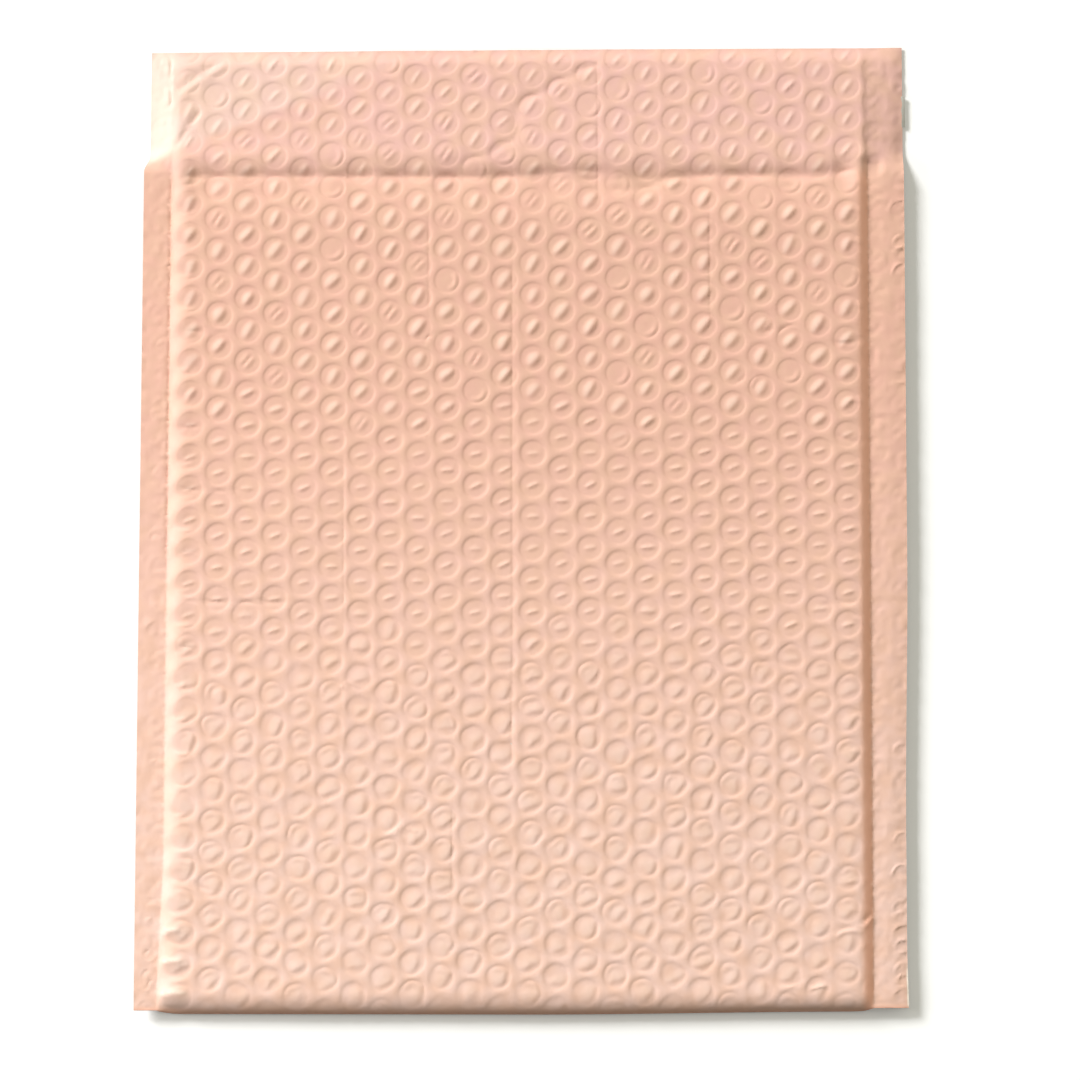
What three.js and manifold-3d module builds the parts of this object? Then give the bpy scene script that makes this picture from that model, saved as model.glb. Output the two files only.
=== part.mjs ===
// A bubble-lined poly mailer, empty, lying on its front with the flap open.
// Sizes are in millimetres. X runs across the mailer, Y from the bottom fold
// towards the flap, and Z up from the table that it lies on.

import * as THREE from 'three';
import { mergeVertices, toCreasedNormals } from 'three/addons/utils/BufferGeometryUtils.js';
import Module from 'manifold-3d';

const wasm = await Module();
wasm.setup();

// The web, which is folded at the bottom and welded at both sides
const MAILER_WIDTH = 241;
const MAILER_LENGTH = 305;
const FLAP_LENGTH = 40;
const WALL_THICKNESS = 3.1;
const FLAP_EDGE_THICKNESS = 0.9;

// The side seals, where both walls are crushed flat
const LEFT_SEAL_WIDTH = 8.7;
const RIGHT_SEAL_WIDTH = 11.5;
const SEAL_THICKNESS = 0.5;
const SEAL_SETBACK = 1.2;
const SHOULDER_WIDTH = 3.6;

// The bottom fold, and the crease that the flap turns on
const FOLD_FACETS = 5;
const CREASE_DEPTH = 1.0;

// The air cells, in columns that are offset by half a pitch in turn
const CELL_PITCH = 10;
const COLUMN_SPACING = 8.86;
const CELL_DIAMETER = 9;
const CELL_DEPTH = 0.9;
const CELL_MARGIN = 1.8;
const FIRST_CELL = 5.3;

// The pocket between the walls, and the step from its roof to the flap
const POCKET_GAP = 0.4;
const POCKET_CORNER_RADIUS = 6;
const MOUTH_STEP = 0.2;

// The closure on the underside of the flap
const CLOSURE_FROM_EDGE = 19.7;
const ADHESIVE_WIDTH = 7;
const ADHESIVE_THICKNESS = 0.3;
const ADHESIVE_END_INSET = 6;
const LINER_WIDTH = 10;
const LINER_THICKNESS = 0.2;
const LINER_OVERHANG = 0.8;
const CLOSURE_GAP = 0.25;

const ARC_SEGMENTS = 4;
const CREASE_ANGLE = Math.PI / 6;
const MERGE_DISTANCE = 1e-4;

const bodyHeight = 2 * WALL_THICKNESS + POCKET_GAP;
const foldY = -MAILER_LENGTH / 2;
const edgeY = MAILER_LENGTH / 2;
const mouthY = edgeY - FLAP_LENGTH;
const leftX = -MAILER_WIDTH / 2;
const rightX = MAILER_WIDTH / 2;
const leftSeamX = leftX + LEFT_SEAL_WIDTH;
const rightSeamX = rightX - RIGHT_SEAL_WIDTH;
const sealBottom = WALL_THICKNESS + POCKET_GAP + MOUTH_STEP;
const sealEndY = foldY + SEAL_SETBACK;
const flapThickness = bodyHeight - sealBottom;

// The cell pattern is centred between the seams, with a shoulder on each side.
const pouchWidth = rightSeamX - leftSeamX;
const cellColumns = Math.floor((pouchWidth - 2 * SHOULDER_WIDTH) / COLUMN_SPACING);
const cellsLeftX = (leftSeamX + rightSeamX - cellColumns * COLUMN_SPACING) / 2;
const cellsRightX = cellsLeftX + cellColumns * COLUMN_SPACING;
const cellHalfWidth = CELL_DIAMETER / 2;
const cellHalfLength = (cellHalfWidth * CELL_PITCH) / COLUMN_SPACING / (4 / 3);

// The fold is a half round of flat facets.
const facetAngle = Math.PI / FOLD_FACETS;
const foldRadius = bodyHeight / 2;
const foldReach = foldRadius * Math.cos(((FOLD_FACETS % 2) * facetAngle) / 2);
const panelStartY = foldY + foldReach;

const point = (x, y, z) => new THREE.Vector3(x, y, z);
const startOf = (lines) => lines.map((line) => line[0]);
const endOf = (lines) => lines.map((line) => line.at(-1));

// The inner face of the flap, which slopes from the mouth down to the table
function flapUnderside(y) {
  return sealBottom * THREE.MathUtils.clamp((edgeY - y) / FLAP_LENGTH, 0, 1);
}

// The outer film of the back panel and the flap, between the cells
function backFilm(y) {
  if (y === mouthY) {
    return bodyHeight - CREASE_DEPTH;
  }
  if (y === edgeY) {
    return FLAP_EDGE_THICKNESS;
  }
  return flapUnderside(y) + flapThickness;
}

// Triangles between two lines of points, by the shorter diagonal each time.
// They face up where the second line lies to the right of the first.
function bridge(first, second) {
  const corners = [];
  let i = 0;
  let j = 0;
  while (i < first.length - 1 || j < second.length - 1) {
    const nextFirst = first[i + 1]?.distanceTo(second[j]) ?? Infinity;
    const nextSecond = second[j + 1]?.distanceTo(first[i]) ?? Infinity;
    const third = nextFirst < nextSecond ? first[i + 1] : second[j + 1];
    if (!first[i].equals(second[j]) && !third.equals(first[i]) && !third.equals(second[j])) {
      corners.push(first[i], second[j], third);
    }
    if (nextFirst < nextSecond) {
      i += 1;
    } else {
      j += 1;
    }
  }
  return corners;
}

function bridgeAll(lines) {
  return lines.slice(1).flatMap((line, i) => bridge(lines[i], line));
}

// The distance along the mailer of a column's first cell
function firstCellY(column) {
  return foldY + FIRST_CELL + (column % 2) * (CELL_PITCH / 2);
}

// One column of cells. Each cell is a shallow pit with six sides, and flat film
// runs on between the pits. A cell that meets a crease or an edge is squeezed.
function cellColumn(column, fromY, toY) {
  const x = cellsLeftX + COLUMN_SPACING * (column + 0.5);
  const flank = cellHalfWidth / 2;
  const left = [point(x - flank, fromY, backFilm(fromY))];
  const right = [point(x + flank, fromY, backFilm(fromY))];
  const corners = [];
  for (let y = firstCellY(column); y < toY; y += CELL_PITCH) {
    const low = Math.max(y - cellHalfLength, fromY + CELL_MARGIN);
    const high = Math.min(y + cellHalfLength, toY - CELL_MARGIN);
    const middle = (low + high) / 2;
    if (high - low > cellHalfLength) {
      const leftSide = [
        point(x - flank, low, backFilm(low)),
        point(x - cellHalfWidth, middle, backFilm(middle)),
        point(x - flank, high, backFilm(high)),
      ];
      const rightSide = [
        point(x + flank, low, backFilm(low)),
        point(x + cellHalfWidth, middle, backFilm(middle)),
        point(x + flank, high, backFilm(high)),
      ];
      const bottom = point(x, middle, backFilm(middle) - CELL_DEPTH);
      const rim = [...rightSide, ...leftSide.toReversed()];
      rim.forEach((corner, i) => corners.push(bottom, corner, rim[(i + 1) % rim.length]));
      left.push(...leftSide);
      right.push(...rightSide);
    }
  }
  left.push(point(x - flank, toY, backFilm(toY)));
  right.push(point(x + flank, toY, backFilm(toY)));
  for (let i = 0; i < left.length; i += 3) {
    corners.push(...bridge(left.slice(i, i + 2), right.slice(i, i + 2)));
  }
  return { left, right, corners };
}

// A column on the back panel, and its run over the crease to the edge of the flap
function webColumn(column) {
  const panel = cellColumn(column, panelStartY, mouthY);
  const flap = cellColumn(column, mouthY, edgeY);
  return {
    left: [...panel.left, ...flap.left.slice(1)],
    right: [...panel.right, ...flap.right.slice(1)],
    corners: [...panel.corners, ...flap.corners],
  };
}

// A seam has a point at its ends, at the mouth and between the cells beside it,
// where the film puckers.
function seamStops(column) {
  const stops = [sealEndY];
  for (let y = firstCellY(column) + CELL_PITCH / 2; y < edgeY - CELL_PITCH / 4; y += CELL_PITCH) {
    if (Math.abs(y - mouthY) > CELL_PITCH / 4) {
      stops.push(y);
    }
  }
  return [...stops, mouthY, edgeY].sort((a, b) => a - b);
}

// A line along a seal, on its lower face or lifted to its upper face
function sealLine(x, stops, lift) {
  return stops.map((y) => point(x, y, flapUnderside(y) + lift));
}

const columns = Array.from({ length: cellColumns }, (_, column) => webColumn(column));
const rimStops = [sealEndY, mouthY, edgeY];
const leftRimTop = sealLine(leftX, rimStops, SEAL_THICKNESS);
const leftSeamTop = sealLine(leftSeamX, seamStops(0), SEAL_THICKNESS);
const rightSeamTop = sealLine(rightSeamX, seamStops(cellColumns - 1), SEAL_THICKNESS);
const rightRimTop = sealLine(rightX, rimStops, SEAL_THICKNESS);
const leftRim = sealLine(leftX, rimStops, 0);
const rightRim = sealLine(rightX, rimStops, 0);

// The upper side in pairs of lines from left to right, with a column in each gap
const linesAcross = [
  leftSeamTop,
  ...columns.flatMap(({ left, right }) => [left, right]),
  rightSeamTop,
];
const upperSide = columns.flatMap(({ corners }) => corners);
for (let i = 0; i < linesAcross.length; i += 2) {
  upperSide.push(...bridge(linesAcross[i], linesAcross[i + 1]));
}

// The lower side: both seals, both shoulders and the flat front panel
const frontLines = [
  leftRim.slice(0, 2),
  sealLine(leftSeamX, [sealEndY, mouthY], 0),
  [point(cellsLeftX, panelStartY, 0), point(cellsLeftX, mouthY, 0)],
  [point(cellsRightX, panelStartY, 0), point(cellsRightX, mouthY, 0)],
  sealLine(rightSeamX, [sealEndY, mouthY], 0),
  rightRim.slice(0, 2),
];

// The rows round the bottom fold draw in to the ends of the seals.
function foldRow(facet) {
  const angle = Math.PI / 2 - facet * facetAngle;
  const y = panelStartY - foldRadius * Math.cos(angle);
  const z = foldRadius + foldRadius * Math.sin(angle);
  const sealZ = sealBottom + (angle > 0 ? SEAL_THICKNESS : 0);
  return [
    point(leftSeamX, sealEndY, sealZ),
    point(cellsLeftX, y, z),
    point(cellsRightX, y, z),
    point(rightSeamX, sealEndY, sealZ),
  ];
}

const innerFoldRows = Array.from({ length: FOLD_FACETS - 1 }, (_, i) => foldRow(i + 1));
const frontStart = startOf(frontLines);
const foldRows = [startOf(linesAcross), ...innerFoldRows, frontStart.slice(1, -1)];
const mouthRow = endOf(frontLines);
const mouthTop = [mouthRow[0], mouthRow[1], mouthRow.at(-2), mouthRow.at(-1)];
const flapEdge = [leftRim.at(-1), rightRim.at(-1)];
const flapEdgeTop = [leftRimTop.at(-1), ...endOf(linesAcross), rightRimTop.at(-1)];

const webCorners = [
  ...upperSide,
  ...bridgeAll([leftRim, leftRimTop, leftSeamTop]),
  ...bridgeAll([rightSeamTop, rightRimTop, rightRim]),
  ...bridgeAll(frontLines.toReversed()),
  ...bridgeAll(foldRows),
  ...bridge([leftRimTop[0], leftSeamTop[0]], frontStart.slice(0, 2)),
  ...bridge([rightSeamTop[0], rightRimTop[0]], frontStart.slice(-2)),
  ...bridge(mouthRow.slice(1, -1), mouthTop.slice(1, -1)),
  ...bridgeAll([mouthTop, flapEdge, flapEdgeTop]),
];

function solidOf(geometry) {
  geometry.deleteAttribute('normal');
  geometry.deleteAttribute('uv');
  const merged = mergeVertices(geometry, MERGE_DISTANCE);
  const vertProperties = new Float32Array(merged.attributes.position.array);
  const triVerts = new Uint32Array(merged.index.array);
  return new wasm.Manifold(new wasm.Mesh({ numProp: 3, vertProperties, triVerts }));
}

function geometryOf(solid) {
  const { vertProperties, triVerts } = solid.getMesh();
  const geometry = new THREE.BufferGeometry();
  geometry.setAttribute('position', new THREE.BufferAttribute(vertProperties, 3));
  geometry.setIndex(new THREE.BufferAttribute(triVerts, 1));
  return toCreasedNormals(geometry, CREASE_ANGLE);
}

// The pocket is a thin slot between the walls that is open at the mouth.
function pocketGeometry() {
  const startY = foldY + WALL_THICKNESS;
  const endY = mouthY + MOUTH_STEP;
  const radius = POCKET_CORNER_RADIUS;
  const outline = new THREE.Shape();
  outline.moveTo(cellsLeftX, endY);
  outline.lineTo(cellsLeftX, startY + radius);
  outline.absarc(cellsLeftX + radius, startY + radius, radius, Math.PI, 1.5 * Math.PI);
  outline.absarc(cellsRightX - radius, startY + radius, radius, 1.5 * Math.PI, 2 * Math.PI);
  outline.lineTo(cellsRightX, endY);
  const options = { depth: POCKET_GAP, bevelEnabled: false, curveSegments: ARC_SEGMENTS };
  return new THREE.ExtrudeGeometry(outline, options).translate(0, 0, WALL_THICKNESS);
}

// A strip across the flap: a flat section with round edges, hung below its origin
function stripGeometry(length, width, thickness) {
  const radius = thickness / 2;
  const reach = width / 2 - radius;
  const section = new THREE.Shape();
  section.absarc(reach, -radius, radius, -Math.PI / 2, Math.PI / 2);
  section.absarc(-reach, -radius, radius, Math.PI / 2, 1.5 * Math.PI);
  const options = { depth: length, bevelEnabled: false, curveSegments: ARC_SEGMENTS };
  const strip = new THREE.ExtrudeGeometry(section, options).translate(0, 0, -length / 2);
  return strip.rotateX(Math.PI / 2).rotateZ(Math.PI / 2);
}

const webEnvelope = new THREE.BufferGeometry().setFromPoints(webCorners);
const web = solidOf(webEnvelope).subtract(solidOf(pocketGeometry()));
const mailer = new THREE.Mesh(
  geometryOf(web),
  new THREE.MeshStandardMaterial({ color: 0xf0c4ac, roughness: 0.42, metalness: 0 }),
);
mailer.name = 'mailer';

const adhesiveStrip = new THREE.Mesh(
  stripGeometry(MAILER_WIDTH - 2 * ADHESIVE_END_INSET, ADHESIVE_WIDTH, ADHESIVE_THICKNESS),
  new THREE.MeshStandardMaterial({ color: 0xe9dfc2, roughness: 0.3, metalness: 0 }),
);
adhesiveStrip.name = 'adhesive_strip';
adhesiveStrip.position.z = -CLOSURE_GAP;

const releaseLiner = new THREE.Mesh(
  stripGeometry(MAILER_WIDTH + 2 * LINER_OVERHANG, LINER_WIDTH, LINER_THICKNESS),
  new THREE.MeshStandardMaterial({ color: 0xf6f5f1, roughness: 0.35, metalness: 0 }),
);
releaseLiner.name = 'release_liner';
releaseLiner.position.z = adhesiveStrip.position.z - ADHESIVE_THICKNESS - CLOSURE_GAP;

// The closure lies along the underside of the flap and slopes with it.
const closure = new THREE.Group();
const closureY = edgeY - CLOSURE_FROM_EDGE;
closure.position.set(0, closureY, flapUnderside(closureY));
closure.rotation.x = -Math.atan2(sealBottom, FLAP_LENGTH);
closure.add(adhesiveStrip, releaseLiner);

const part = new THREE.Group();
part.add(mailer, closure);

export default part;
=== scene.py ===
"""A bubble-lined poly mailer over its CAD frame: one web of outer film whose air cells show
through, welded side seals, the air-cell lining, and the flap's adhesive with its release strip."""

import math
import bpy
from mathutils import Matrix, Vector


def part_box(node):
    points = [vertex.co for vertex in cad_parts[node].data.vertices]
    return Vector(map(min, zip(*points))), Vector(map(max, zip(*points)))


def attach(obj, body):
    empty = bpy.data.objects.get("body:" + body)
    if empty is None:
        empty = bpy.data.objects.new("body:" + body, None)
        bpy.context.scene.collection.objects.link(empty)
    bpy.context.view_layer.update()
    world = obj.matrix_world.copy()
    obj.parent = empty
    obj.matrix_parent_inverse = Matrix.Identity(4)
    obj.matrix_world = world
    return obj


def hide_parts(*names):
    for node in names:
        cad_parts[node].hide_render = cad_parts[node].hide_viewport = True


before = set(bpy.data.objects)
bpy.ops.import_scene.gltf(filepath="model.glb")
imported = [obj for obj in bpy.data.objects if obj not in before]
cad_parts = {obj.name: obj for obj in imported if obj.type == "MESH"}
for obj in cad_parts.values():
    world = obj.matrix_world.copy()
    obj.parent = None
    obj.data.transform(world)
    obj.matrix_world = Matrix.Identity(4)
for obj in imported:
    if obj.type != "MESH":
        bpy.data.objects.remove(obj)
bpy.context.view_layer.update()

from types import SimpleNamespace

import bmesh
import bpy
import numpy as np
from bpy.props import FloatProperty, FloatVectorProperty, IntProperty, PointerProperty
from mathutils import Euler, Matrix, Vector

bl_info = {
    "name": "Bubble-lined Poly Mailer",
    "version": (1, 0, 0),
    "blender": (4, 5, 0),
    "location": "View3D > Sidebar > Mailer",
    "description": "Builds an empty bubble-lined poly mailer with its flap open",
    "category": "Add Mesh",
}

MM = 0.001
MAILER_LOW, MAILER_HIGH = (Vector(corner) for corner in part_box("mailer"))
ADHESIVE_LOW, ADHESIVE_HIGH = (Vector(corner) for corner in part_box("adhesive_strip"))
LINER_LOW, LINER_HIGH = (Vector(corner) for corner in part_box("release_liner"))


def linear(hex_colour):
    """An sRGB hex colour as linear red, green and blue."""
    parts = [int(hex_colour[i:i + 2], 16) / 255 for i in (1, 3, 5)]
    return tuple(p / 12.92 if p <= 0.04045 else ((p + 0.055) / 1.055) ** 2.4 for p in parts)


def length(name, description, default):
    """A length property, with its default in millimetres."""
    return FloatProperty(
        name=name, description=description, default=default * MM, unit="LENGTH", precision=4
    )


def degrees(name, description, default):
    """An angle property, with its default in degrees."""
    return FloatProperty(
        name=name, description=description, default=math.radians(default), subtype="ANGLE"
    )


def point(name, description, default):
    """A property for a point, in metres."""
    return FloatVectorProperty(
        name=name, description=description, default=default, subtype="XYZ", unit="LENGTH",
        precision=4,
    )


def strength(name, description, default):
    """A property for the strength of a light."""
    return FloatProperty(name=name, description=description, default=default, min=0)


def colour(name, description, hex_colour):
    """A colour property, with its default as an sRGB hex value."""
    return FloatVectorProperty(
        name=name, description=description, default=linear(hex_colour), subtype="COLOR",
        min=0, max=1,
    )


class MailerSizes(bpy.types.PropertyGroup):
    """Lengths of the folded and welded web"""

    width: length("Width", "Over both side seals", (MAILER_HIGH.x - MAILER_LOW.x) / MM)
    height: length("Height", "From the table to the top of the cells", MAILER_HIGH.z / MM)
    fold: length("Bottom fold", "Where the web turns, along the mailer", MAILER_LOW.y / MM)
    edge: length("Flap edge", "Where the flap ends, along the mailer", MAILER_HIGH.y / MM)
    flap: length("Flap", "From the mouth to the free edge", 40)
    left_seal: length("Left seal", "Width of the weld on the left", 8.7)
    right_seal: length("Right seal", "Width of the weld on the right", 11.5)
    seal_bottom: length("Seal height", "From the table to the underside of the seals", 3.7)
    seal_thickness: length("Seal thickness", "Both walls crushed and welded", 0.5)
    seal_setback: length("Seal setback", "From the bottom fold to the end of the seals", 1.2)
    left_shoulder: length("Left shoulder", "From the left seam to the full height", 5.8)
    right_shoulder: length("Right shoulder", "From the right seam to the turn of the film", 3.2)
    fold_start: length("Fold start", "From the bottom fold to the flat of the panels", 7.0)
    film_gap: length("Film gap", "From the outer film to the lining between the cells", 0.3)
    cell_height: length("Cell height", "Of an air cell on the inside of the web", 2.75)


class CellSizes(bpy.types.PropertyGroup):
    """Lengths of the air-cell pattern"""

    pitch: length("Pitch", "From cell to cell along a column", 10)
    spacing: length("Column spacing", "From column to column", 8.86)
    diameter: length("Diameter", "Of an air cell", 8.8)
    first_x: length("First column", "Centre of the first whole column", -103.29)
    first_y: length("First cell", "Centre of the first cell of that column", -147.2)


class MailerColours(bpy.types.PropertyGroup):
    """Colours of the films, the closure and the table"""

    film: colour("Film", "Outer film", "#EDBAA7")
    film_flap: colour("Film, flap", "Outer film of the flap, a little pinker", "#EDBDB2")
    # Painted light: the film fades to this paler tone towards the bottom fold, standing in for
    # brighter light there.
    film_lit_low: colour("Film, pale", "Outer film where its pigment runs thinner", "#F4CFC1")
    film_warm: colour("Film, warm", "Outer film where its pigment runs yellower", "#EDC0A7")
    # Painted highlight colour, laid on the pinches, the left shoulder, the flap's left margin and
    # the corner puckers.
    film_highlight: colour("Film, stretched", "Outer film where it is stretched pale", "#FFF2E3")
    # Painted warm light in shade, laid on the right groove and the bottom fold.
    film_painted_glow: colour("Film, glowing", "Outer film with light between the layers", "#FFC3A8")
    lining: colour("Lining", "Air-cell film inside", "#F3E1D6")
    adhesive: colour("Adhesive", "Hot-melt band", "#E9DFC2")
    liner: colour("Release strip", "Silicone-coated strip", "#F6F5F1")
    table: colour("Table", "Matt white table", "#FFFFFF")
    table_bounce: colour("Table, bounce", "Table as the mailer is lit by it", "#7C7973")


class StageSettings(bpy.types.PropertyGroup):
    """Camera, table and light"""

    target: point("Target", "Point at the middle of the view", (0.00525, -0.00471, 0.004))
    distance: length("Distance", "From the camera to the target", 1000)
    tilt: degrees("Tilt", "Of the camera from straight above, towards the bottom fold", 5.03)
    roll: degrees("Roll", "Of the camera about its view", 0.09)
    view_angle: degrees("View angle", "Across the square picture", 19.244)
    key_azimuth: degrees("Key azimuth", "Of the main light, from the right edge to the flap", 141)
    key_height: degrees("Key height", "Of the main light above the table", 29)
    key_softness: degrees("Key softness", "Width of the main light as an angle", 20)
    key_strength: strength("Key strength", "Of the main light", 3.6)
    side_place: point("Side lamp place", "Of the small lamp on the left", (-0.48, -0.07, 0.27))
    side_size: length("Side lamp size", "Across the small lamp on the left", 140)
    side_power: FloatProperty(
        name="Side lamp", description="Power of the small lamp on the left", default=0.65,
        unit="POWER", min=0,
    )
    fill: strength("Fill", "Brightness of the room", 0.23)
    fill_colour: colour("Fill colour", "Of the light from the room", "#FFFCE7")
    table_glow: strength("Table glow", "Lift of the table where it is seen", 0.15)
    seed: IntProperty(
        name="Seed", description="Picks the wrinkles of the single cells", default=11, min=0
    )


def layout(scene):
    """The mailer's lengths in millimetres, with the places that follow from them."""
    sizes, cells = scene.mailer_sizes, scene.mailer_cells
    m = SimpleNamespace(**{name: getattr(sizes, name) / MM for name in MailerSizes.__annotations__})
    c = SimpleNamespace(**{name: getattr(cells, name) / MM for name in CellSizes.__annotations__})
    m.left, m.right = -m.width / 2, m.width / 2
    m.left_seam, m.right_seam = m.left + m.left_seal, m.right - m.right_seal
    m.mouth = m.edge - m.flap
    m.panel_start = m.fold + m.fold_start
    m.seal_top = m.seal_bottom + m.seal_thickness
    m.quarter = math.pi / 2 * math.hypot(m.fold_start, m.height / 2) / math.sqrt(2)
    m.nose = m.panel_start - m.quarter
    c.seed = scene.mailer_stage.seed
    return m, c


def ease(low, high, x):
    """A smooth step from 0 at low to 1 at high."""
    t = np.clip((x - low) / (high - low), 0, 1)
    return t * t * (3 - 2 * t)


def mix(a, b, share):
    """From a to b by a share of the way."""
    return a + (b - a) * share


NOISE_GRID = 128


def crumple(u, v, scale, seed):
    """Smooth seeded noise from -1 to 1, with bumps about scale millimetres apart."""
    table = np.random.default_rng(seed).uniform(-1, 1, (NOISE_GRID, NOISE_GRID))

    def at(p, q):
        return table[p % NOISE_GRID, q % NOISE_GRID]

    x, y = u / scale, v / scale
    i, j = np.floor(x).astype(int), np.floor(y).astype(int)
    a, b = ease(0, 1, x - i), ease(0, 1, y - j)
    return mix(mix(at(i, j), at(i + 1, j), a), mix(at(i, j + 1), at(i + 1, j + 1), a), b)


def fold_line(u, v, points, height, left, right, fade):
    """Height of one fold along a line of points: a tent with its own width on either side of
    the line, which fades out at both ends. A negative height is a valley."""
    points = np.asarray(points, float)
    reach = max(left, right) + 0.5
    near = (
        (u > points[:, 0].min() - reach) & (u < points[:, 0].max() + reach)
        & (v > points[:, 1].min() - reach) & (v < points[:, 1].max() + reach)
    )
    pu, pv = u[near], v[near]
    steps = np.hypot(*np.diff(points, axis=0).T)
    starts = np.concatenate([[0], np.cumsum(steps)])
    closest = np.full(pu.shape, np.inf)
    side = np.zeros(pu.shape)
    along = np.zeros(pu.shape)
    for (ax, ay), (bx, by), step, start in zip(points, points[1:], steps, starts):
        dx, dy = (bx - ax) / step, (by - ay) / step
        run = np.clip((pu - ax) * dx + (pv - ay) * dy, 0, step)
        off = np.hypot(pu - ax - run * dx, pv - ay - run * dy)
        nearer = off < closest
        closest = np.where(nearer, off, closest)
        side = np.where(nearer, (pv - ay) * dx - (pu - ax) * dy, side)
        along = np.where(nearer, start + run, along)
    tent = np.clip(1 - closest / np.where(side > 0, left, right), 0, 1)
    ends = ease(0, fade, along) * ease(0, fade, starts[-1] - along)
    ends = ends * (0.88 + 0.12 * np.sin(0.41 * along + points[0, 0]))
    out = np.zeros(u.shape)
    out[near] = height * tent * tent * (1.6 - 0.6 * tent) * ends
    return out


def drift(u, v):
    """How far the cells lie from an even pattern, because the web was fed a little askew and
    bowed, and is stretched towards the flap."""
    stretched = np.maximum(v - 66, 0)
    du = -0.05 + (0.0129 + 2e-4 * stretched) * u - 5e-5 * (v - 20) ** 2
    dv = -0.45 + 0.0125 * u + 7e-5 * (v - 30) ** 2 + 0.0064 * stretched
    return du, dv


def nearest_cell(c, u, v):
    """The column and row of the cell that each point lies in, and its place from the centre."""
    du, dv = drift(u, v)
    u, v = u - du, v - dv
    base = np.floor((u - c.first_x) / c.spacing)
    found = None
    for column in (base, base + 1):
        first_y = c.first_y + (column % 2) * c.pitch / 2
        row = np.rint((v - first_y) / c.pitch)
        dx = u - c.first_x - column * c.spacing
        dy = v - first_y - row * c.pitch
        this = (column, row, dx, dy)
        if found is None:
            found = this
        else:
            nearer = np.hypot(dx, dy) < np.hypot(found[2], found[3])
            found = tuple(np.where(nearer, new, old) for new, old in zip(this, found))
    column, row, dx, dy = found
    return column.astype(int), row.astype(int), dx, dy


def bean(dx, dy, angle, half_length, upper, lower, across, height):
    """A pinch of slack film in a cell: a plump ridge with its own width on either side."""
    along = dx * np.cos(angle) + dy * np.sin(angle)
    off = dy * np.cos(angle) - dx * np.sin(angle) - across
    ends = np.clip(1 - (along / half_length) ** 2, 0, 1) ** 0.8
    t = off / (np.where(off > 0, upper, lower) * (0.35 + 0.65 * ends))
    return height * ends * np.clip(1 - t * t, 0, 1) ** 1.6


# The film is pinched tight in the upper zone of the back panel and lies slack in the lower one.
# These are the lengths along the mailer in which each zone sets in, in millimetres.
UPPER_ZONE = (24, 44)
LOWER_ZONE = (-50, -24)
CELL_DRAWS = 12
DRAW_GRID = 64
DOUBLED_SHARE = 0.2
HOOKED_SHARE = 0.07
ARC_SHARE = 0.5


def cell_relief(c, u, v, mouth):
    """Height of the outer film over the air cells, from the bonded film between them, and a painted
    highlight on the pinches, set towards their lit side."""
    column, row, dx, dy = nearest_cell(c, u, v)
    draws = np.random.default_rng(c.seed).random((DRAW_GRID, DRAW_GRID, CELL_DRAWS))
    draw = draws[column % DRAW_GRID, row % DRAW_GRID].T
    vary = draw * 2 - 1
    centre = v - dy + 9 * vary[0]
    upper = ease(*UPPER_ZONE, centre)
    lower = 1 - ease(*LOWER_ZONE, centre)
    middle = 1 - upper - lower
    flap = ease(mouth - 4, mouth + 4, v)
    loose = 0.14 + 0.52 * lower
    dx = dx + loose * crumple(u, v, 3.1, 21)
    dy = dy + loose * crumple(u, v, 3.1, 22)
    radius = c.diameter / 2 * (0.985 + 0.025 * vary[2])
    t = np.hypot(dx, dy) / radius
    depth = (0.21 * upper + 0.27 * middle + 0.29 * lower) * (1 + 0.2 * vary[3])
    rim_start = 0.80 + 0.06 * upper - 0.03 * lower
    rim_end = 1.10 - 0.04 * upper + 0.05 * lower
    relief = -depth * (1 - ease(rim_start, rim_end, t))
    doubled = (draw[7] > 1 - DOUBLED_SHARE) * upper
    hooked = (draw[7] < HOOKED_SHARE) * upper
    single = 1 - np.maximum(doubled, hooked)

    def by_zone(high, mid, low):
        return upper * high + middle * mid + lower * low

    lean = np.radians(by_zone(53 + 12 * vary[1], 14 + 14 * vary[1], 45 + 35 * vary[1]))
    half = by_zone(3.1 + 0.45 * vary[8], 2.3 + 0.3 * vary[8], 3.1 + 0.4 * vary[8])
    lit = by_zone(2.3 + 0.35 * vary[9] - 0.8 * flap, 1.2, 3.9 + 0.6 * vary[9])
    shaded = by_zone(1.75 + 0.2 * vary[9] - 0.7 * flap, 0.8, 1.3 + 0.3 * vary[5])
    across = by_zone(0.35 * vary[4] - 0.2, -0.2, -1.3 + 0.5 * vary[4])
    plump = (0.46 + 0.12 * vary[6]) * (1 - 0.4 * flap)
    size = by_zone(plump, 0.28 + 0.08 * vary[6], 0.28 + 0.1 * vary[6])
    relief += single * bean(dx, dy, lean, half, lit, shaded, across, size)
    # Painted highlight on each pinch, set towards its lit upper side.
    highlight_strength = 0.13 + 0.14 * upper - 0.06 * flap
    pale = single * bean(dx, dy, lean, half, lit, 0.5 * shaded, across + 0.35, highlight_strength)
    for across, size in ((1.4, 0.22), (-0.75, 0.28)):
        size = size * (1 + 0.3 * vary[6])
        relief += doubled * bean(dx, dy, lean, 2.7, 1.1, 0.95, across, size)
    slack = lower * (draw[10] < ARC_SHARE)
    for present, heading, size in (
        (hooked, -40 + 30 * vary[11], 0.28), (slack, 95 + 50 * vary[11], 0.26),
    ):
        turned = np.arctan2(dy, dx) - np.radians(heading)
        sweep = np.clip(1 - (np.arctan2(np.sin(turned), np.cos(turned)) / 1.3) ** 2, 0, 1)
        arc = np.clip(1 - ((t - 0.62) / 0.22) ** 2, 0, 1)
        relief += size * present * sweep * arc
    return relief, pale


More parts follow.
